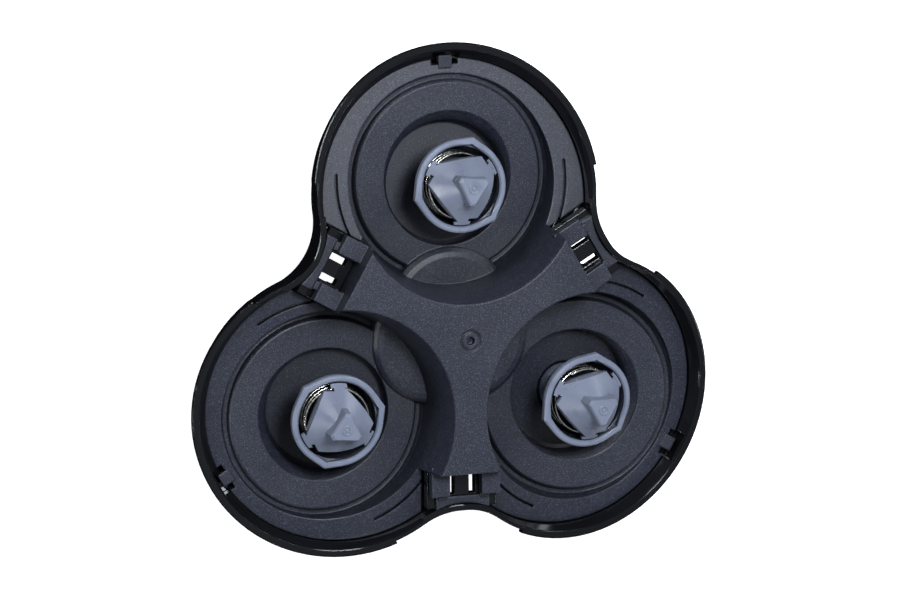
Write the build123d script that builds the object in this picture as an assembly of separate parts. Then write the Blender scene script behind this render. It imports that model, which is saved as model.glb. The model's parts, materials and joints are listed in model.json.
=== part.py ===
from build123d import *
import os
from math import acos, cos, degrees, pi, radians, sin, tan

# Drive head base of a three-head rotary shaver, in millimetres.
# The origin is the centre of the neck's end face. +Z points to the cutters, +Y to the first lobe.

# Layout
LOBES = (90, 210, 330)           # directions of the three cutter lobes
VALLEYS = (30, 150, 270)         # directions of the three valleys between them
RING_TOP = 20.8                  # height of the coupling sleeves' top face
SPINDLE_R = 18.0                 # spindle distance from the centre, at RING_TOP
SPINDLE_TILT = 5.0               # each spindle leans outward
LUG_TURNS = (58, -1, 63)         # rest turn of each spindle about its own axis

# Lobe rim, a circle on a plane that falls outward
RIM_R = 17.3
RIM_CENTRE = 17.01
RIM_Z = 19.3
RIM_TILT = 10.9
LIP_R = 17.69
LIP_HEIGHT = 0.9
LIP_HALF_SPAN = 83
LIP_EDGE = 0.12                  # bevel of the lip's edges
LIP_INNER_R = 16.9
BAND_R = 15.55                   # foot of the sloped gloss band inside the lip
BAND_DEPTH = 1.7
WALL = 1.1
CASE_BOTTOM = 7.8
HUB_R = 10.8

# Valley between two lobes
VALLEY_FILLET = 7.7
VALLEY_WALL = 0.75               # thickness of the wall around the fillet
VALLEY_WALL_R = 20.4             # outer end of the web
WEB_TOP = 19.7
WEB_BOTTOM = 18.5
WEB_HALF = 4.3
SLOT_R = (16.9, 19.1)
SLOT_V = (0.9, 1.7)
NOTCH_R = 16.2                   # inner edge of the open notch under the web
NOTCH_SLOPE = 0.39
NOTCH_WIDE_TOP = 15.6            # the notch opens out sideways below this
APRON_R = 19.7                   # inside of the web's outer wall, below the web

# Hair tray
LEDGE_R = 16.35
LEDGE_CENTRE = 16.0
LEDGE_Z = 17.4
LEDGE_TILT = 9.0
FLANGE = 1.3
KEY_HALF = 1.65                  # gap for the key at each lobe's far end
TRAY_BOTTOM = 14.0
BOWL_CENTRE = 18.2
BOWL_FLOOR = 15.6
FLOOR_R = 11.57
FLOOR_EDGE = 0.25                # bevel around the bowl's floor
GROOVE_Z = 14.8
PLATEAU = 23.6
PLATEAU_R = 16.0
ARM_HALF_ANGLE = 24
ARM_BOTTOM = 18.0                # foot of the wall at the end of each plateau arm
SKIN = 1.2
WELL_R = 7.4
WELL_WALL = 0.9
WELL_FLOOR = -7.6                # along the spindle from RING_TOP
SEAL_R = 4.17
SEAL_LOW = -9.35
SEAL_HIGH = -8.43
PAD_CENTRE = 2.2
PAD_R = 7.8
PAD_HEIGHT = 0.9

# Gear train
MODULE = 0.5
CENTRE_TEETH = 33
SPINDLE_TEETH = 35
PRESSURE_ANGLE = 20
ROOT_DEPTH = 1.3                 # of a module, below the pitch circle
BACKLASH = 0.07                  # taken off each flank
GEAR_FACE = 2.4
CENTRE_GEAR_Z = 9.3
SPINDLE_GEAR_S = -12.24          # underside, measured along the spindle from RING_TOP
PIN_R = 0.75
RUN = 0.05                       # running clearance on a pin

# Lower cover and neck
COVER_BOTTOM = 6.0
COVER_TOP = 7.5
NECK_R = 9.8
NECK_BORE = 8.3
SCREW_AT = (11.9, 9.9)           # outward and sideways from the centre, in each lobe
SCREW_R = 0.7
HEAD_R = 1.3
HEAD_TOP = 6.95
BUSH_R = 4.6
BUSH_BORE = 3.45
SOCKET_R = 2.2
SOCKET_MOUTH = 2.6

# Coupling sleeve, in heights along the spindle from RING_TOP
CAM_R = 5.52                     # flange: round part, and its three corners
CAM_CORNER_R = 5.91
CAM_TURN = 45                    # first corner, from the first lug
SLEEVE_FLANGE = 0.95
MOUTH_R = 4.75
MOUTH_CORNER_R = 5.1
CUP_R = 4.72
CUP_WALL = 0.25
CUP_BEND = -2.2                  # the cup narrows below this
CUP_FLOOR = -3.5
NECK_TUBE_R = 3.0
SLEEVE_END = -9.5
HUB_BORE_R = 1.92
POST_R = 2.3
POST_TOP = -0.3
POST_KEY_R = 2.65
POST_KEY_HALF = 0.4
PIN_TOP = -3.0

# Drive tip and its spring
CAP_SIDE_R = 3.3                 # middle of a side
CAP_CORNER_R = 4.2
CAP_NECK_R = 3.85
CAP_NECK = 9.5                   # angles from a lug: the corner beside its neck,
CAP_FIRST = 25.5                 # the start of the side that follows it,
CAP_LAST = 111.5                 # and that side's end
PLATE_LOW = -0.45
CONE_APEX = 4.5
LUG_R = 4.62
LUG_HEAD = 0.4
LUG_HALF = 0.98
LUG_NECK_HALF = 0.66
STUB_R = 2.05
STUB_CUT = 9
STUB_TURN = -4
STUB_TOP = 4.62
SKIRT_R = 3.05
SKIRT_LOW = -1.8
CAVITY_TOP = 1.4
SPRING_R = 3.85
WIRE_R = 0.175
SPRING_TURNS = 2.5

FREE = 0.1                       # gap between parts that only sit beside each other


def radius_height(*points):
    """Solid turned about Z from its (radius, height) outline."""
    outline = Polyline(*[(r, 0, z) for r, z in points], close=True)
    return revolve(make_face(outline), Axis.Z, 360)


def tube(outer, inner, low, high):
    return radius_height((inner, low), (outer, low), (outer, high), (inner, high))


def rod(radius, low, high):
    return Pos(0, 0, low) * Cylinder(radius, high - low, align=(Align.CENTER, Align.CENTER, Align.MIN))


def block(x, y, z):
    """Box from three (low, high) pairs."""
    size = [high - low for low, high in (x, y, z)]
    return Pos(x[0], y[0], z[0]) * Box(*size, align=(Align.MIN, Align.MIN, Align.MIN))


def mirrored_blocks(x, y, z):
    """Two boxes, one on each side of the y = 0 plane."""
    return [block(x, y, z), block(x, (-y[1], -y[0]), z)]


def around(angles, shapes):
    """Copies of the shapes turned to each direction."""
    return [Rot(0, 0, a) * s for a in angles for s in shapes]


def polar(r, angle):
    return (r * cos(radians(angle)), r * sin(radians(angle)))


def spindle_frame():
    return Pos(SPINDLE_R, 0, RING_TOP) * Rot(0, SPINDLE_TILT, 0)


def rim_frame():
    return Pos(RIM_CENTRE, 0, RIM_Z) * Rot(0, RIM_TILT, 0)


def ledge_frame():
    return Pos(LEDGE_CENTRE, 0, LEDGE_Z) * Rot(0, LEDGE_TILT, 0)


def under_plane(frame, drop=0.0):
    """A large block below a sloping plane, or below the plane lowered by drop."""
    return frame * block((-70, 70), (-70, 70), (-60, -drop))


# ---------------------------------------------------------------- gears

def gear_outline(teeth):
    """Straight-sided approximation of an involute gear, with a tooth on +X."""
    pitch_r = MODULE * teeth / 2
    root_r = pitch_r - ROOT_DEPTH * MODULE
    tip_r = pitch_r + MODULE
    half_at_pitch = pi * MODULE / 4 - BACKLASH
    points = []
    for k in range(teeth):
        middle = 2 * pi * k / teeth
        for r, side in ((root_r, -1), (pitch_r, -1), (tip_r, -1), (tip_r, 1), (pitch_r, 1), (root_r, 1)):
            half = half_at_pitch - (r - pitch_r) * tan(radians(PRESSURE_ANGLE))
            points.append(polar(r, degrees(middle + side * half / r)))
    return make_face(Polyline(*points, close=True))


def toothed_wheel(teeth, low):
    """Gear with a thin web between its rim and its hub."""
    wheel = Pos(0, 0, low) * extrude(gear_outline(teeth), GEAR_FACE)
    root_r = MODULE * teeth / 2 - ROOT_DEPTH * MODULE
    recess = tube(root_r - 1.1, 3.0, low + GEAR_FACE - 0.8, low + GEAR_FACE + 1)
    return wheel - recess


def spindle_gear():
    low = SPINDLE_GEAR_S
    hub = rod(1.9, low, -7.35)
    return toothed_wheel(SPINDLE_TEETH, low) + hub - rod(PIN_R + RUN, low - 1, -7)


def centre_gear():
    top = CENTRE_GEAR_Z + GEAR_FACE
    gear = toothed_wheel(CENTRE_TEETH, CENTRE_GEAR_Z) + rod(1.9, top - 1, 13.0) + rod(2.4, 7.6, CENTRE_GEAR_Z + 1)
    return gear - rod(PIN_R + RUN, 7, 14)


# ---------------------------------------------------------------- casing

def lobe_body(inset):
    """One lobe of the casing's outside, or of its inside when inset is the wall."""
    a = RIM_R - inset
    if inset:
        top = Polyline((0, 0, 4), (LIP_INNER_R + 3.2, 0, 4), (LIP_INNER_R, 0, 0), (BAND_R, 0, -BAND_DEPTH),
                       (a - 0.35, 0, -2.4))
    else:
        top = Polyline((0, 0, 0), (a, 0, 0), (a - 0.15, 0, -2.0))
    start = top @ 1
    side = ThreePointArc(start, (a - 0.75, 0, -4.9), (a - 3.9, 0, -9.2))
    foot = Polyline((a - 3.9, 0, -9.2), (a - 4.9, 0, -12), (a - 6.1, 0, -18), (0, 0, -18), (0, 0, (top @ 0).Z))
    return rim_frame() * revolve(make_face(top + side + foot), Axis.Z, 360)


def notch_column(half_widths, top, margin):
    right = [(r, half + margin) for r, half in half_widths]
    left = [(r, -half - margin) for r, half in reversed(half_widths)]
    return Pos(0, 0, -1) * extrude(make_face(Polyline(*right, *left, close=True)), top + 1)


def notch(margin):
    """Open space below each valley, which leans inward as it goes down, widened by margin."""
    narrow = notch_column(((9, 1.7), (15, 1.7), (17, 2.7), (26, 2.7)), WEB_BOTTOM, margin)
    wide = notch_column(((9, 1.7), (15, 1.7), (17, 2.7), (19, 4.2), (26, 10)), NOTCH_WIDE_TOP + margin, margin)
    column = narrow + wide
    inner = NOTCH_R - margin
    foot = inner - NOTCH_SLOPE * (WEB_BOTTOM + 2)
    side = make_face(Polyline((inner, 0, WEB_BOTTOM), (foot, 0, -2), (40, 0, -2), (40, 0, WEB_BOTTOM), close=True))
    return column & extrude(side, 14, both=True)


def casing_body(inset):
    """The casing's outside, or the space inside it when inset is the wall."""
    hub = rod(HUB_R - inset, 5, 40 if inset else 14.5)
    return hub + around(LOBES, [lobe_body(inset)]) - around(VALLEYS, [notch(inset)])


def valley_fillet_centre():
    half = RIM_CENTRE * sin(radians(60))
    return RIM_CENTRE * cos(radians(60)) + ((RIM_R + VALLEY_FILLET) ** 2 - half ** 2) ** 0.5


def valley_block():
    """Web that joins two neighbouring lobes at the rim."""
    half = RIM_CENTRE * sin(radians(60))
    base = RIM_CENTRE * cos(radians(60))
    plan = make_face(Polyline((base, -half), (valley_fillet_centre(), 0), (base, half), (16.1, 0), close=True))
    web = Pos(0, 0, 17.0) * extrude(plan, 8)
    web = web - Pos(valley_fillet_centre(), 0, 0) * rod(VALLEY_FILLET, 0, 40)
    for turn in (60, -60):
        web = web & under_plane(Rot(0, 0, turn) * rim_frame())
    return web - (notch(0) & rod(APRON_R, 0, 30))


def valley_recess(gap):
    """Space above a web, whose outer side follows the casing's curved wall at a distance of gap."""
    wall = Pos(valley_fillet_centre(), 0, 0) * rod(VALLEY_FILLET + VALLEY_WALL + gap, 0, 60)
    return block((10, 23), (-4.4, 4.4), (WEB_BOTTOM, 40)) - wall


def pocket():
    """Seat of the tray's flange in one lobe."""
    return (Pos(LEDGE_CENTRE, 0, 0) * rod(LEDGE_R + FREE, 5, 40)) - under_plane(ledge_frame(), FLANGE + FREE)


def lip():
    """Thin lip that stands proud of the lobe's outer wall."""
    ring = radius_height((RIM_R - 0.5, -LIP_HEIGHT), (LIP_R - LIP_EDGE, -LIP_HEIGHT),
                         (LIP_R, LIP_EDGE - LIP_HEIGHT), (LIP_R, -LIP_EDGE), (LIP_R - LIP_EDGE, 0), (RIM_R - 0.5, 0))
    corners = [polar(2 * RIM_R, a) for a in (-LIP_HALF_SPAN, -LIP_HALF_SPAN / 2, 0, LIP_HALF_SPAN / 2, LIP_HALF_SPAN)]
    sector = make_face(Polyline((0, 0), *corners, close=True))
    return rim_frame() * (ring & (Pos(0, 0, -5) * extrude(sector, 10)))


def screw_boss():
    return Pos(*SCREW_AT, 0) * rod(1.5, CASE_BOTTOM, 12.8)


def rim_casing():
    case = casing_body(0) - casing_body(WALL)
    case = case - rod(60, -20, CASE_BOTTOM)
    case = case + around(VALLEYS, [valley_block()]) + around(LOBES, [lip()])
    case = case - around(LOBES, [pocket()])
    case = case - around(VALLEYS, [valley_recess(0)])
    web = block((16.1, VALLEY_WALL_R + 0.3), (-WEB_HALF, WEB_HALF), (WEB_BOTTOM, WEB_TOP))
    slots = mirrored_blocks(SLOT_R, SLOT_V, (WEB_BOTTOM - 3, WEB_TOP + 1))
    case = case + around(VALLEYS, [web]) - around(VALLEYS, slots)
    key_pocket = block((31.4, 33.2), (-KEY_HALF - FREE, KEY_HALF + FREE), (13.6, 20))
    screw_hole = Pos(*SCREW_AT, 0) * rod(SCREW_R + 0.01, 7, 12.4)
    boss = screw_boss() & casing_body(0.4)
    return case - around(LOBES, [key_pocket]) + around(LOBES, [boss]) - around(LOBES, [screw_hole])


# ---------------------------------------------------------------- hair tray

def bowl_space():
    """Space inside one bowl, down to its floor and the groove around the floor."""
    wall = [(12.2, GROOVE_Z), (12.5, GROOVE_Z + 0.5), (12.75, 17), (13.1, 20), (13.75, PLATEAU - 0.25)]
    floor = [(0, BOWL_FLOOR), (FLOOR_R - FLOOR_EDGE, BOWL_FLOOR), (FLOOR_R, BOWL_FLOOR - FLOOR_EDGE),
             (FLOOR_R + 0.1, GROOVE_Z)]
    mouth = [(14.1, PLATEAU + 0.4), (14.1, 30), (0, 30)]
    return Pos(BOWL_CENTRE, 0, 0) * radius_height(*floor, *wall, *mouth)


def bowl_shell():
    """Solid of a bowl's outside, one skin larger than its space."""
    top = PLATEAU + 0.4
    shell = radius_height((0, TRAY_BOTTOM), (12.4 + SKIN, TRAY_BOTTOM), (12.6 + SKIN, 16), (13 + SKIN, 19),
                          (13.8 + SKIN, PLATEAU), (13.8 + SKIN, top), (0, top))
    return Pos(BOWL_CENTRE, 0, 0) * shell


def well_space():
    """Round well with a flared mouth, square to the leaning spindle."""
    foot = [(0, WELL_FLOOR), (WELL_R - 0.4, WELL_FLOOR), (WELL_R, WELL_FLOOR + 0.4), (WELL_R, -6.1)]
    flare = [(WELL_R + 0.15, -5.6), (WELL_R + 0.5, -5.2), (WELL_R + 1.2, -4.6), (WELL_R + 1.2, -4.2), (0, -4.2)]
    return spindle_frame() * radius_height(*foot, *flare)


def well_boss():
    """Underside of the well, with the collar that holds the seal."""
    return spindle_frame() * (rod(WELL_R + WELL_WALL, WELL_FLOOR - 0.9, -6.2) + rod(5.0, SEAL_LOW, WELL_FLOOR - 0.4))


def seal_seat():
    """Opening for the sleeve's neck, and the seat of its seal below."""
    return spindle_frame() * (rod(NECK_TUBE_R + 0.3, -12, -7) + rod(SEAL_R + 0.03, -12, SEAL_HIGH + 0.03))


def plateau_outline(inset):
    """Hexagon with its three long sides across the ends of the arms."""
    corner_r = (PLATEAU_R - inset) / cos(radians(ARM_HALF_ANGLE))
    corners = [polar(corner_r, a + side * ARM_HALF_ANGLE) for a in VALLEYS for side in (-1, 1)]
    return make_face(Polyline(*corners, close=True))


def plateau_prism(inset, low, high):
    return Pos(0, 0, low) * extrude(plateau_outline(inset), high - low)


def bowl_pad():
    """Lens-shaped raised pad on the inner side of a bowl's floor."""
    top = BOWL_FLOOR + PAD_HEIGHT
    disc = radius_height((0, 15.2), (PAD_R, 15.2), (PAD_R - 0.15, BOWL_FLOOR + 0.35), (PAD_R - 0.6, top - 0.12),
                         (PAD_R - 1.2, top), (0, top))
    return (Pos(PAD_CENTRE, 0, 0) * disc) & (Pos(BOWL_CENTRE, 0, 0) * rod(12.72, 10, 20))


def tray_blank():
    """Flanges, floors and plateau before the bowls are cut."""
    flange = (Pos(LEDGE_CENTRE, 0, 0) * rod(LEDGE_R, 5, 40)) & under_plane(ledge_frame())
    flange = flange - under_plane(ledge_frame(), FLANGE)
    basin = bowl_shell() & under_plane(ledge_frame())
    solid = plateau_prism(0, ARM_BOTTOM, PLATEAU)
    hollow = plateau_prism(SKIN, TRAY_BOTTOM - 1, PLATEAU - SKIN) - around(LOBES, [bowl_shell()])
    return solid + around(LOBES, [flange, basin]) - hollow


def valley_tabs():
    """Latch tabs and bridge at a valley."""
    tabs = mirrored_blocks((15.4, 19.0), (2.0, 4.25), (20.2, 21.4))
    bridge = block((19.3, 22), (-3.3, 3.3), (WEB_TOP + 0.05, 20.15)) & valley_recess(FREE)
    legs = mirrored_blocks((18.3, 19.5), (2.1, 3.1), (WEB_TOP + 0.05, 20.6))
    return [*tabs, bridge, *legs]


def ledge_slits():
    """Thin curved grooves beside a bowl."""
    ring = Pos(BOWL_CENTRE, 0, 0) * tube(14.35, 14.05, 15, 22)
    ring = ring - under_plane(ledge_frame(), 0.7)
    slits = []
    for middle in (100, -100):
        corners = [polar(40, middle + side) for side in (-16, 0, 16)]
        wedge = extrude(make_face(Polyline((0, 0), *corners, close=True)), 15)
        slits.append(ring & (Pos(BOWL_CENTRE, 0, 10) * wedge))
    return slits


def centre_boss():
    boss = rod(2.2, 13.4, PLATEAU - 1)
    return boss - rod(PIN_R + 0.01, 13, 17.6)


def hair_tray():
    tray = tray_blank() - around(LOBES, [bowl_space()])
    disc = Pos(BOWL_CENTRE, 0, 0) * radius_height((0, TRAY_BOTTOM), (FLOOR_R + 0.1, TRAY_BOTTOM),
                                                  (FLOOR_R + 0.1, GROOVE_Z), (FLOOR_R, BOWL_FLOOR - FLOOR_EDGE),
                                                  (FLOOR_R - FLOOR_EDGE, BOWL_FLOOR), (0, BOWL_FLOOR))
    tray = tray + around(LOBES, [disc, well_boss(), bowl_pad()]) + centre_boss()
    tray = tray - around(LOBES, [well_space(), seal_seat(), *ledge_slits()])
    gap = block((PLATEAU_R + 0.05, 30), (-4.4, 4.4), (10, 30))
    key_gap = block((31.6, 40), (-KEY_HALF, KEY_HALF), (10, 20))
    tray = tray - around(VALLEYS, [gap]) - around(LOBES, [key_gap])
    key_tab = block((31.2, 32.7), (-0.8, 0.8), (14.35, 15.15))
    mark = tube(1.3, 1.0, PLATEAU - 0.15, PLATEAU + 1) + rod(0.5, PLATEAU - 0.7, PLATEAU + 1)
    return tray + around(VALLEYS, valley_tabs()) + around(LOBES, [key_tab]) - mark


# ---------------------------------------------------------------- cover and neck

def cover_outline(low, high, inset):
    """Slice of the casing's body between two heights."""
    return casing_body(inset) & block((-60, 60), (-60, 60), (low, high))


def screw_hole():
    return Pos(*SCREW_AT, 0) * (rod(HEAD_R + 0.05, 0, HEAD_TOP) + rod(SCREW_R + FREE, 5, 9))


def pin_boss():
    """Foot of a spindle pin, square to the leaning spindle."""
    boss = spindle_frame() * rod(2.2, -15.5, SPINDLE_GEAR_S - 0.4)
    return boss - rod(60, 0, COVER_TOP - 0.5)


def lower_cover():
    cover = cover_outline(COVER_BOTTOM, COVER_TOP, 0)
    neck = tube(NECK_R, NECK_BORE, 0, COVER_BOTTOM + 0.5)
    bush_seat = rod(5.8, 5.0, 8.2)
    cover = cover + neck + bush_seat + around(LOBES, [pin_boss()])
    cover = cover - rod(BUSH_R + 0.02, 0, 10)
    pin_holes = around(LOBES, [spindle_frame() * rod(PIN_R + 0.01, -14.4, -10)])
    screw_holes = around(LOBES, [screw_hole()])
    ring_groove = tube(NECK_R + 1, 9.1, 3.6, 4.4)
    seal_groove = tube(NECK_R + 1, 9.1, 4.8, 5.6)
    return cover - pin_holes - screw_holes - ring_groove - seal_groove


def case_gasket():
    ring = cover_outline(COVER_TOP, CASE_BOTTOM, 0.15) - cover_outline(COVER_TOP - 1, CASE_BOTTOM + 1, 1.0)
    return ring


def cover_screw():
    """Screw with a cross recess."""
    screw = rod(HEAD_R, HEAD_TOP - 0.8, HEAD_TOP) + rod(SCREW_R, HEAD_TOP - 0.05, 12.2)
    bar = block((-0.9, 0.9), (-0.2, 0.2), (6, HEAD_TOP - 0.4))
    recess = bar + Rot(0, 0, 90) * bar
    return Pos(*SCREW_AT, 0) * (screw - recess)


def click_spring():
    """Open steel ring that snaps into the handle's collar."""
    gap = block((5, 12), (-2.5, 2.5), (0, 10))
    return tube(10.0, 9.15, 3.7, 4.3) - gap


def neck_seal():
    section = Pos(9.49, 0, 5.2) * Rot(90, 0, 0) * Circle(0.37)
    return revolve(section, Axis.Z, 360)


def centre_bush():
    """Plain bush of the input shaft, with a collar above the cover."""
    return tube(BUSH_R, BUSH_BORE, 5.1, 8.4) + tube(BUSH_R + 0.8, BUSH_BORE, 8.25, 8.6)


def drive_socket():
    """Input shaft: a keyed socket below, and a seat for the centre gear's hub above."""
    socket = rod(BUSH_BORE - RUN, SOCKET_MOUTH, 9.2) - rod(2.42, 7.6, 10) - rod(SOCKET_R, 2, SOCKET_MOUTH + 4.4)
    keyway = block((-2.8, 2.8), (-0.6, 0.6), (2, SOCKET_MOUTH + 4))
    return socket - keyway


# ---------------------------------------------------------------- spindles

def cam_outline(round_r, corner_r):
    """Round section drawn out to three corners."""
    reach = degrees(acos(round_r / corner_r))
    edges = []
    for k in range(3):
        corner = CAM_TURN + 120 * k
        edges.append(Line(polar(round_r, corner - reach), polar(corner_r, corner)))
        edges.append(Line(polar(corner_r, corner), polar(round_r, corner + reach)))
        edges.append(ThreePointArc(polar(round_r, corner + reach), polar(round_r, corner + 60),
                                   polar(round_r, corner + 120 - reach)))
    return make_face(edges)


def three_arms(reach, half, low, high):
    """Three radial bars at 120 degrees."""
    return [Rot(0, 0, 120 * k) * block((0, reach), (-half, half), (low, high)) for k in range(3)]


def coupling_sleeve():
    """Cup with a three-cornered flange, a keyed post inside it and a hollow neck below."""
    flange = Pos(0, 0, -SLEEVE_FLANGE) * extrude(cam_outline(CAM_R, CAM_CORNER_R), SLEEVE_FLANGE)
    flange = chamfer(flange.faces().sort_by(Axis.Z)[-1].outer_wire().edges(), 0.2)
    foot_r = SPRING_R + WIRE_R + 0.08
    cup = radius_height((0, CUP_FLOOR - 0.8), (foot_r - 0.15, CUP_FLOOR - 0.8), (foot_r + 0.3, CUP_FLOOR),
                        (CUP_R + CUP_WALL, CUP_BEND), (CUP_R + CUP_WALL + 0.1, 0.1 - SLEEVE_FLANGE),
                        (0, 0.1 - SLEEVE_FLANGE))
    neck = rod(NECK_TUBE_R, SLEEVE_END, CUP_FLOOR)
    mouth = Pos(0, 0, 0.2 - SLEEVE_FLANGE) * extrude(cam_outline(MOUTH_R, MOUTH_CORNER_R), SLEEVE_FLANGE + 1)
    mouth_edge = radius_height((0, -0.2), (MOUTH_R, -0.2), (MOUTH_R + 0.3, 0.1), (0, 0.1))
    bore = radius_height((0, CUP_FLOOR), (foot_r, CUP_FLOOR), (CUP_R, CUP_BEND), (CUP_R, 1), (0, 1))
    post = rod(POST_R, CUP_FLOOR - 0.1, POST_TOP)
    sleeve = flange + cup + neck - mouth - mouth_edge - bore + post
    sleeve = sleeve + three_arms(POST_KEY_R, POST_KEY_HALF, CUP_FLOOR - 0.1, POST_TOP)
    return sleeve - rod(PIN_R + RUN, SLEEVE_END - 1, PIN_TOP + 0.5) - rod(HUB_BORE_R, SLEEVE_END - 1, -7.3)


def cap_plan():
    """Cap outline: three bowed sides, each starting beside a lug's neck."""
    edges = []
    for lug in (0, 120, 240):
        first = polar(CAP_CORNER_R, lug + CAP_FIRST)
        last = polar(CAP_CORNER_R, lug + CAP_LAST)
        neck = polar(CAP_NECK_R, lug + CAP_NECK)
        side = ThreePointArc(first, polar(CAP_SIDE_R, lug + (CAP_FIRST + CAP_LAST) / 2), last)
        edges += [Line(neck, first), side, Line(last, polar(CAP_NECK_R, lug + 120 + CAP_NECK))]
    return make_face(edges)


def stub_plan(radius):
    """Triangle with cut-off corners that point along the lugs."""
    points = []
    for k in range(3):
        for side in (-STUB_CUT, STUB_CUT):
            points.append(polar(radius, STUB_TURN + 120 * k + side))
    return make_face(Polyline(*points, close=True))


def tip_lugs():
    """T-shaped lugs that hold the cap turned with the sleeve."""
    necks = three_arms(LUG_R - 0.3, LUG_NECK_HALF, PLATE_LOW, CONE_APEX)
    heads = three_arms(LUG_R + 1, LUG_HALF, PLATE_LOW, CONE_APEX)
    ring = tube(LUG_R, LUG_R - LUG_HEAD, PLATE_LOW - 1, CONE_APEX + 1)
    return necks + [head & ring for head in heads]


def drive_tip():
    """Three-sided cone with lugs, a triangular stub on top and a sliding skirt below."""
    plan = Pos(0, 0, PLATE_LOW) * extrude(cap_plan(), CONE_APEX) + tip_lugs()
    cone = radius_height((0, PLATE_LOW), (LUG_R + 0.1, PLATE_LOW), (LUG_R + 0.1, CONE_APEX - LUG_R - 0.1),
                         (0.9, CONE_APEX - 0.9), (0, CONE_APEX - 0.9))
    stub = loft([Pos(0, 0, 2.0) * stub_plan(STUB_R + 0.15), Pos(0, 0, STUB_TOP - 0.25) * stub_plan(STUB_R)])
    nose = loft([Pos(0, 0, STUB_TOP - 0.25) * stub_plan(STUB_R), Pos(0, 0, STUB_TOP) * stub_plan(STUB_R - 0.3)])
    mark = tube(0.6, 0.42, STUB_TOP - 0.1, STUB_TOP + 0.07) + rod(0.2, STUB_TOP - 0.1, STUB_TOP + 0.05)
    skirt = rod(SKIRT_R, SKIRT_LOW, PLATE_LOW + 0.1)
    tip = (plan & cone) + stub + nose + mark + skirt
    tip = tip - rod(POST_R + FREE, SKIRT_LOW - 1, CAVITY_TOP)
    return tip - three_arms(POST_KEY_R + FREE, POST_KEY_HALF + FREE, SKIRT_LOW - 1, CAVITY_TOP)


def tip_spring():
    """Open coil between the sleeve's floor and the cap."""
    low = CUP_FLOOR + WIRE_R + 0.02
    high = PLATE_LOW - WIRE_R - 0.02
    coil = Helix((high - low) / SPRING_TURNS, high - low, SPRING_R, center=(0, 0, low))
    section = Plane(origin=coil @ 0, z_dir=coil % 0) * Circle(WIRE_R)
    return sweep(section, coil, is_frenet=True)


def axle_pin():
    return rod(PIN_R, -14.35, PIN_TOP)


def thrust_washer():
    return tube(2.1, PIN_R + RUN, SPINDLE_GEAR_S - 0.35, SPINDLE_GEAR_S - 0.05)


def well_seal():
    """Rubber ring whose lip runs close to the sleeve's neck."""
    return tube(SEAL_R, NECK_TUBE_R + 0.07, -9.2, SEAL_HIGH) + tube(SEAL_R, 3.5, SEAL_LOW + 0.05, -9.1)


SPINDLE_PARTS = {"spindle_gear": (spindle_gear, False), "coupling_sleeve": (coupling_sleeve, True),
                 "drive_tip": (drive_tip, True), "tip_spring": (tip_spring, True), "axle_pin": (axle_pin, False),
                 "thrust_washer": (thrust_washer, False), "well_seal": (well_seal, False)}


def all_nodes():
    nodes = {"rim_casing": rim_casing(), "hair_tray": hair_tray(), "lower_cover": lower_cover(),
             "case_gasket": case_gasket(), "cover_screws": Compound(around(LOBES, [cover_screw()])),
             "click_spring": click_spring(), "neck_seal": neck_seal(), "centre_bush": centre_bush(),
             "centre_pin": rod(PIN_R, 8.2, 17.5), "centre_gear": Rot(0, 0, LOBES[0]) * centre_gear(),
             "drive_socket": drive_socket()}
    for number, (direction, turn) in enumerate(zip(LOBES, LUG_TURNS), 1):
        place = Rot(0, 0, direction) * spindle_frame()
        for name, (make, follows_lug) in SPINDLE_PARTS.items():
            turned = Rot(0, 0, turn) if follows_lug else Rot(0, 0, 0)
            nodes[f"{name}_{number}"] = place * turned * make()
    return nodes


os.makedirs("parts", exist_ok=True)
for name, shape in all_nodes().items():
    export_step(shape, f"parts/{name}.step")
    print(name, round(shape.volume, 2), len(shape.solids()))
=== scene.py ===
import json
from math import cos, pi, radians, sin

import bpy
from mathutils import Matrix, Vector


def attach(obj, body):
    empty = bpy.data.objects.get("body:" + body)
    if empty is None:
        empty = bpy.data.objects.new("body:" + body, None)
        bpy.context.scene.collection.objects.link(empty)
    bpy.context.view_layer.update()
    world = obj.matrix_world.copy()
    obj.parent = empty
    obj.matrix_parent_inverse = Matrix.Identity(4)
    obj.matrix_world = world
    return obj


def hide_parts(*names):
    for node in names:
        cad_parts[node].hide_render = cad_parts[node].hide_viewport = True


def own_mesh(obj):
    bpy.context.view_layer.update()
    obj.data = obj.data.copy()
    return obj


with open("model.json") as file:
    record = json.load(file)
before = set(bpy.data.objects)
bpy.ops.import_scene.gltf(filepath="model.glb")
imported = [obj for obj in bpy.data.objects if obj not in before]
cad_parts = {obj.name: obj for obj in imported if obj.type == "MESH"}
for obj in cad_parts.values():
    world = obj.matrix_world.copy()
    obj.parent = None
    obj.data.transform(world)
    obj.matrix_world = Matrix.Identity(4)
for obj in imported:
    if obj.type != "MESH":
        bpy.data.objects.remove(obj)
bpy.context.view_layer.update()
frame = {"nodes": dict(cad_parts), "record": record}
nodes = frame["nodes"]

MM = 0.001
LOBES = (90, 210, 330)         # directions of the three bowls
RING_TOP = 20.8 * MM           # height of the coupling sleeves' top

VIEW_TILT = 21.755             # degrees off the head's axis
VIEW_SIDE = 150.65             # direction of that tilt
VIEW_ROLL = 2.41               # the head's own turn in the view
VIEW_DISTANCE = 0.893
SENSOR = 36                    # mm
LENS = 303.4                   # mm
SHIFT = (-0.01467, 0.0408)

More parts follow.
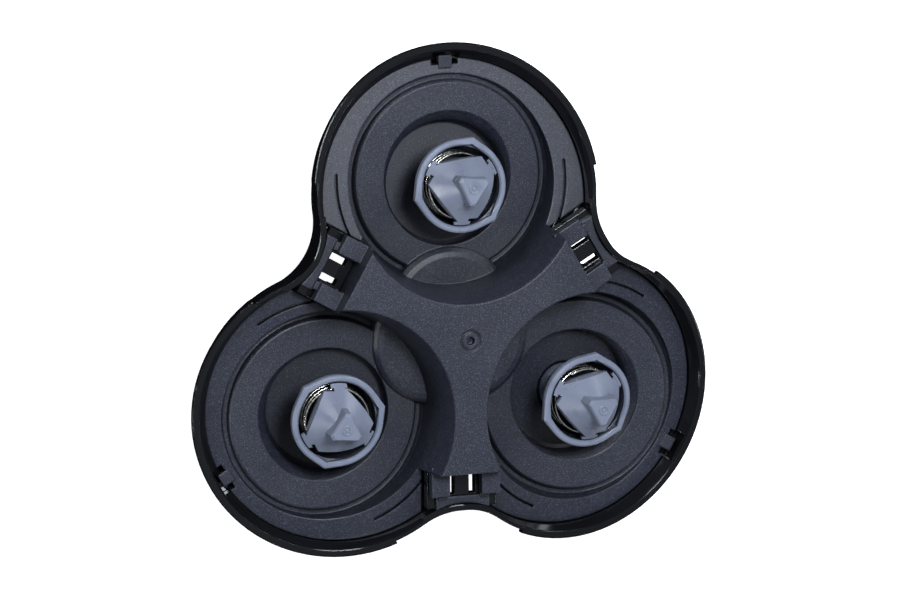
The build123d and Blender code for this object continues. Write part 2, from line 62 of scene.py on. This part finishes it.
LIGHT_AIM = 15 * MM            # height that the lights point at
KEY_AZIMUTH, KEY_ELEVATION, KEY_DISTANCE = 95, 68, 0.5
KEY_SIDE, KEY_WATTS, KEY_COLOUR = 0.12, 2.7, (0.88, 0.93, 1.0)
RIM_LIGHTS = ((190, 1.0), (130, 0.55), (45, 0.9), (350, 0.6), (270, 0.5))   # azimuth, watts
RIM_ELEVATION, RIM_DISTANCE = 20, 0.6
RIM_SIZE, RIM_COLOUR = (0.34, 0.012), (0.96, 0.98, 1.0)
HORIZON = (0.25, 0.95)         # sine of the elevations where the soft sky starts and is full
SKY_LOW, SKY_HIGH, SKY_STRENGTH = (0.02, 0.02, 0.025), (0.84, 0.91, 1.0), 0.30
FLOOR_REACH, FLOOR_DROP, FLOOR_GLOW = 3.0, 0.2 * MM, 0.9

SPINDLE_R = 18 * MM            # distance of the spindles from the axis, at RING_TOP
SPINDLE_TILT = radians(5)
SPRING_LOW = -3.5 * MM         # along the spindle, from RING_TOP
SPRING_HIGH = -0.45 * MM
COIL_R = 3.85 * MM
WIRE_R = 0.16 * MM
TURNS = 3.5                    # of the coil, flat over CLOSED at each end
CLOSED = 0.5
STEPS = 48                     # points in a turn
AROUND = 10                    # points around the wire


# ---------------------------------------------------------------- camera, lights and floor

def camera_axes():
    """Rotation whose rows are the camera's right, up and back directions."""
    tilt, side = radians(VIEW_TILT), radians(VIEW_SIDE)
    towards = Vector((sin(tilt) * cos(side), sin(tilt) * sin(side), cos(tilt)))
    upright = towards.rotation_difference(Vector((0, 0, 1))).to_matrix()
    return upright @ Matrix.Rotation(radians(VIEW_ROLL), 3, "Z")


def add_camera():
    """Camera above the head, tilted off its axis, with a small shift."""
    data = bpy.data.cameras.new("camera")
    data.lens = LENS
    data.sensor_width = SENSOR
    data.shift_x, data.shift_y = SHIFT
    data.clip_start = 0.05
    data.clip_end = 10
    camera = bpy.data.objects.new("camera", data)
    axes = camera_axes()
    place = axes.transposed().to_4x4()
    place.translation = Vector((0, 0, RING_TOP)) + axes[2] * VIEW_DISTANCE
    camera.matrix_world = place
    bpy.context.scene.collection.objects.link(camera)
    bpy.context.scene.camera = camera


def area_light(name, azimuth, elevation, distance, size, watts, colour):
    """Rectangular light that faces the head from the given direction, in degrees."""
    data = bpy.data.lights.new(name, "AREA")
    data.shape = "RECTANGLE"
    data.size, data.size_y = size
    data.energy = watts
    data.color = colour
    light = bpy.data.objects.new(name, data)
    a, e = radians(azimuth), radians(elevation)
    way = Vector((cos(a) * cos(e), sin(a) * cos(e), sin(e)))
    facing = way.to_track_quat("Z", "Y").to_matrix().to_4x4()
    light.matrix_world = Matrix.Translation(Vector((0, 0, LIGHT_AIM)) + way * distance) @ facing
    bpy.context.scene.collection.objects.link(light)


def add_lights():
    """Soft key light, low strips for the casing's edge, and a sky that brightens upwards."""
    area_light("key_light", KEY_AZIMUTH, KEY_ELEVATION, KEY_DISTANCE, (KEY_SIDE, KEY_SIDE), KEY_WATTS, KEY_COLOUR)
    for azimuth, watts in RIM_LIGHTS:
        area_light(f"rim_light_{azimuth}", azimuth, RIM_ELEVATION, RIM_DISTANCE, RIM_SIZE, watts, RIM_COLOUR)
    world = bpy.data.worlds.new("studio")
    bpy.context.scene.world = world
    world.use_nodes = True
    tree = world.node_tree
    way = tree.nodes.new("ShaderNodeTexCoord")
    split = tree.nodes.new("ShaderNodeSeparateXYZ")
    shade = tree.nodes.new("ShaderNodeValToRGB")
    shade.color_ramp.elements[0].position = HORIZON[0]
    shade.color_ramp.elements[0].color = (*SKY_LOW, 1)
    shade.color_ramp.elements[1].position = HORIZON[1]
    shade.color_ramp.elements[1].color = (*SKY_HIGH, 1)
    tree.links.new(way.outputs["Generated"], split.inputs["Vector"])
    tree.links.new(split.outputs["Z"], shade.inputs["Fac"])
    tree.links.new(shade.outputs["Color"], tree.nodes["Background"].inputs["Color"])
    tree.nodes["Background"].inputs["Strength"].default_value = SKY_STRENGTH
    bpy.context.scene.view_settings.view_transform = "Standard"


def add_floor():
    """Plain pale floor that neither lights nor is mirrored in the head."""
    reach = FLOOR_REACH
    corners = [(-reach, -reach, 0), (reach, -reach, 0), (reach, reach, 0), (-reach, reach, 0)]
    mesh = bpy.data.meshes.new("floor")
    mesh.from_pydata(corners, [], [(0, 1, 2, 3)])
    floor = bpy.data.objects.new("floor", mesh)
    floor.location.z = -FLOOR_DROP
    bpy.context.scene.collection.objects.link(floor)
    paint = bpy.data.materials.new("floor_paint")
    paint.use_nodes = True
    shader = paint.node_tree.nodes["Principled BSDF"]
    shader.inputs["Base Color"].default_value = (0.9, 0.9, 0.9, 1)
    shader.inputs["Roughness"].default_value = 0.9
    shader.inputs["Emission Color"].default_value = (1, 1, 1, 1)
    shader.inputs["Emission Strength"].default_value = FLOOR_GLOW
    mesh.materials.append(paint)
    floor.visible_diffuse = False
    floor.visible_glossy = False


# ---------------------------------------------------------------- materials

def new_material(name, colour, roughness, **sockets):
    """A principled material. Other sockets are set by keyword, with _ for a space."""
    material = bpy.data.materials.new(name)
    material.use_nodes = True
    shader = material.node_tree.nodes["Principled BSDF"]
    shader.inputs["Base Color"].default_value = (*colour, 1)
    shader.inputs["Roughness"].default_value = roughness
    for socket, value in sockets.items():
        shader.inputs[socket.replace("_", " ")].default_value = value
    return material


def add_node(material, kind, **values):
    """A node with the given properties set."""
    node = material.node_tree.nodes.new(kind)
    for key, value in values.items():
        setattr(node, key, value)
    return node


def join(material, source, target):
    """Links an output to an input."""
    material.node_tree.links.new(source, target)


def noise(material, scale, detail=2.0, roughness=0.5):
    """Noise texture in object space, with scale in waves per metre."""
    coordinates = add_node(material, "ShaderNodeTexCoord")
    texture = add_node(material, "ShaderNodeTexNoise")
    texture.inputs["Scale"].default_value = scale
    texture.inputs["Detail"].default_value = detail
    texture.inputs["Roughness"].default_value = roughness
    join(material, coordinates.outputs["Object"], texture.inputs["Vector"])
    return texture


def ramp(material, source, stops):
    """Colour ramp from a list of (position, colour)."""
    node = add_node(material, "ShaderNodeValToRGB")
    elements = node.color_ramp.elements
    while len(elements) < len(stops):
        elements.new(0.5)
    for element, (position, colour) in zip(elements, stops):
        element.position = position
        element.color = (*colour, 1)
    join(material, source, node.inputs["Fac"])
    return node


def spread(material, source, low, high):
    """Maps the middle of a noise texture, 0.3 to 0.7, to low..high."""
    node = add_node(material, "ShaderNodeMapRange")
    node.inputs["From Min"].default_value = 0.3
    node.inputs["From Max"].default_value = 0.7
    node.inputs["To Min"].default_value = low
    node.inputs["To Max"].default_value = high
    join(material, source, node.inputs["Value"])
    return node


def bump(material, source, distance, strength=1.0, edge=0.0):
    """Bump on the shader, over edges that look rounded by the given radius."""
    node = add_node(material, "ShaderNodeBump")
    node.inputs["Distance"].default_value = distance
    node.inputs["Strength"].default_value = strength
    join(material, source, node.inputs["Height"])
    if edge:
        rounding = add_node(material, "ShaderNodeBevel", samples=6)
        rounding.inputs["Radius"].default_value = edge
        join(material, rounding.outputs["Normal"], node.inputs["Normal"])
    join(material, node.outputs["Normal"], material.node_tree.nodes["Principled BSDF"].inputs["Normal"])


def gloss_black():
    """Piano-gloss moulding: faint flow waves and a little haze."""
    material = new_material("gloss_black", (0.0045, 0.0048, 0.006), 0.12)
    shader = material.node_tree.nodes["Principled BSDF"]
    waves = noise(material, 90, 2)
    haze = spread(material, waves.outputs["Fac"], 0.04, 0.11)
    join(material, haze.outputs["Result"], shader.inputs["Roughness"])
    bump(material, waves.outputs["Fac"], 0.02 * MM, 0.4, edge=0.22 * MM)
    return material


def paint_recess_shade(material, colour, reach, painted_shade_colour, limits=(0.25, 0.62)):
    """Painted shade: multiplies the colour by a darker one where the surface is closed in, as in a deep cup."""
    closed = add_node(material, "ShaderNodeAmbientOcclusion", samples=8)
    closed.inputs["Distance"].default_value = reach
    shade = ramp(material, closed.outputs["AO"], [(limits[0], painted_shade_colour), (limits[1], (1, 1, 1))])
    mix = add_node(material, "ShaderNodeMix", data_type="RGBA", blend_type="MULTIPLY")
    mix.inputs["Factor"].default_value = 1
    join(material, colour, mix.inputs[6])
    join(material, shade.outputs["Color"], mix.inputs[7])
    return mix.outputs[2]


def matte_charcoal():
    """Spark-eroded texture: dark blue-grey with fine bright flecks, and painted shade that darkens its bowls and
    wells.
    """
    material = new_material("matte_charcoal", (0.03, 0.033, 0.048), 0.5)
    shader = material.node_tree.nodes["Principled BSDF"]
    grain = noise(material, 7000, 2, 0.6)
    cloud = noise(material, 120, 3)
    dark, middle, fleck = (0.011, 0.012, 0.018), (0.018, 0.020, 0.030), (0.085, 0.10, 0.16)
    speck = ramp(material, grain.outputs["Fac"], [(0.30, dark), (0.55, middle), (0.72, fleck)])
    # painted shade: the colour is darkened in the bowls and wells, where the surface is closed in
    surface = paint_recess_shade(material, speck.outputs["Color"], 9 * MM, (0.25, 0.26, 0.29), (0.30, 0.88))
    join(material, surface, shader.inputs["Base Color"])
    rough = spread(material, cloud.outputs["Fac"], 0.36, 0.50)
    join(material, rough.outputs["Result"], shader.inputs["Roughness"])
    bump(material, grain.outputs["Fac"], 0.03 * MM, 0.5, edge=0.25 * MM)
    return material


def satin(name, colour, roughness, subsurface=0.0, edge=0.12 * MM, reach=0.0):
    """Smooth moulded plastic or rubber, with a slightly cloudy tone; with reach, painted shade darkens its
    recesses.
    """
    material = new_material(name, colour, roughness, Subsurface_Weight=subsurface)
    shader = material.node_tree.nodes["Principled BSDF"]
    shader.inputs["Subsurface Radius"].default_value = (1, 1, 1)
    shader.inputs["Subsurface Scale"].default_value = 0.4 * MM
    cloud = noise(material, 400, 3)
    darker = tuple(0.90 * c for c in colour)
    lighter = tuple(min(1, 1.08 * c) for c in colour)
    tone = ramp(material, cloud.outputs["Fac"], [(0.3, darker), (0.7, lighter)])
    surface = tone.outputs["Color"]
    if reach:
        # painted shade: near-black colour in hollows such as the spring cups
        surface = paint_recess_shade(material, surface, reach, (0.06, 0.06, 0.07))
    join(material, surface, shader.inputs["Base Color"])
    rough = spread(material, cloud.outputs["Fac"], roughness - 0.06, roughness + 0.08)
    join(material, rough.outputs["Result"], shader.inputs["Roughness"])
    bump(material, cloud.outputs["Fac"], 0.02 * MM, 0.4, edge=edge)
    return material


def metal(name, colour, roughness, streaks=(1, 1, 1)):
    """Drawn or ground metal, with fine streaks along the axis whose scale is small."""
    material = new_material(name, colour, roughness, Metallic=1.0)
    shader = material.node_tree.nodes["Principled BSDF"]
    coordinates = add_node(material, "ShaderNodeTexCoord")
    stretch = add_node(material, "ShaderNodeMapping")
    stretch.inputs["Scale"].default_value = streaks
    texture = add_node(material, "ShaderNodeTexNoise")
    texture.inputs["Scale"].default_value = 3000
    texture.inputs["Detail"].default_value = 3
    join(material, coordinates.outputs["Object"], stretch.inputs["Vector"])
    join(material, stretch.outputs["Vector"], texture.inputs["Vector"])
    tone = ramp(material, texture.outputs["Fac"], [(0.3, tuple(0.8 * c for c in colour)), (0.7, colour)])
    join(material, tone.outputs["Color"], shader.inputs["Base Color"])
    rough = spread(material, texture.outputs["Fac"], roughness - 0.08, roughness + 0.12)
    join(material, rough.outputs["Result"], shader.inputs["Roughness"])
    bump(material, texture.outputs["Fac"], 0.01 * MM, 0.5)
    return material


MATERIALS = {
    "gloss_black": gloss_black(),
    "matte_charcoal": matte_charcoal(),
    # grey_acetal gets painted shade inside its cups and other deep hollows
    "grey_acetal": satin("grey_acetal", (0.175, 0.197, 0.262), 0.30, 0.08, reach=3.5 * MM),
    "natural_acetal": satin("natural_acetal", (0.80, 0.78, 0.72), 0.42, 0.2, edge=0.05 * MM),
    "spring_steel": metal("spring_steel", (0.80, 0.78, 0.70), 0.22),
    "pin_steel": metal("pin_steel", (0.70, 0.70, 0.71), 0.25, (1, 1, 0.1)),
    "screw_steel": metal("screw_steel", (0.16, 0.16, 0.17), 0.4),
    "bush_bronze": metal("bush_bronze", (0.55, 0.36, 0.18), 0.5),
    "black_rubber": satin("black_rubber", (0.02, 0.02, 0.021), 0.6),
}


def dress_cad_nodes():
    """One material on each CAD node, by its slot in the record."""
    for part in frame["record"]["subparts"]:
        node = nodes[part["node"]]
        node.data.materials.clear()
        node.data.materials.append(MATERIALS[part["material_slot"]])
        for polygon in node.data.polygons:
            polygon.material_index = 0


# ---------------------------------------------------------------- springs under the drive tips


def spindle_place(lobe):
    """Frame of a spindle: its origin at RING_TOP, and Z along its axis."""
    lean = Matrix.Rotation(SPINDLE_TILT, 4, "Y")
    return Matrix.Rotation(radians(lobe), 4, "Z") @ Matrix.Translation((SPINDLE_R, 0, RING_TOP)) @ lean


def coil_height(turn):
    """Height of the wire's centre, flat over CLOSED of a turn at each end."""
    low, high = SPRING_LOW + WIRE_R, SPRING_HIGH - WIRE_R
    share = min(1, max(0, (turn - CLOSED) / (TURNS - 2 * CLOSED)))
    return low + (high - low) * share


def coil_mesh(name, place, turned):
    """Round wire bent into an open coil that starts at the angle turned, with capped ends."""
    points, faces = [], []
    count = int(TURNS * STEPS) + 1
    for k in range(count):
        turn = k / STEPS
        angle = 2 * pi * turn + turned
        out = Vector((cos(angle), sin(angle), 0))
        centre = out * COIL_R + Vector((0, 0, coil_height(turn)))
        for j in range(AROUND):
            way = 2 * pi * j / AROUND
            points.append(place @ (centre + out * WIRE_R * cos(way) + Vector((0, 0, WIRE_R * sin(way)))))
        if k:
            row, last = k * AROUND, (k - 1) * AROUND
            for j in range(AROUND):
                beside = (j + 1) % AROUND
                faces.append((last + j, last + beside, row + beside, row + j))
    faces.append(tuple(range(AROUND))[::-1])
    faces.append(tuple(range(len(points) - AROUND, len(points))))
    mesh = bpy.data.meshes.new(name)
    mesh.from_pydata(points, [], faces)
    mesh.polygons.foreach_set("use_smooth", [True] * len(faces))
    return mesh


def add_springs():
    """A coil in place of each CAD spring, hung on its spindle's body."""
    for number, lobe in enumerate(LOBES, 1):
        place = spindle_place(lobe)
        name = f"spring_coil_{number}"
        spring = bpy.data.objects.new(name, coil_mesh(name, place, radians(lobe)))
        bpy.context.scene.collection.objects.link(spring)
        spring.data.materials.append(MATERIALS["spring_steel"])
        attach(spring, f"spindle_{number}")
        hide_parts(f"tip_spring_{number}")
        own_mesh(spring)


add_camera()
add_lights()
add_floor()
dress_cad_nodes()
add_springs()
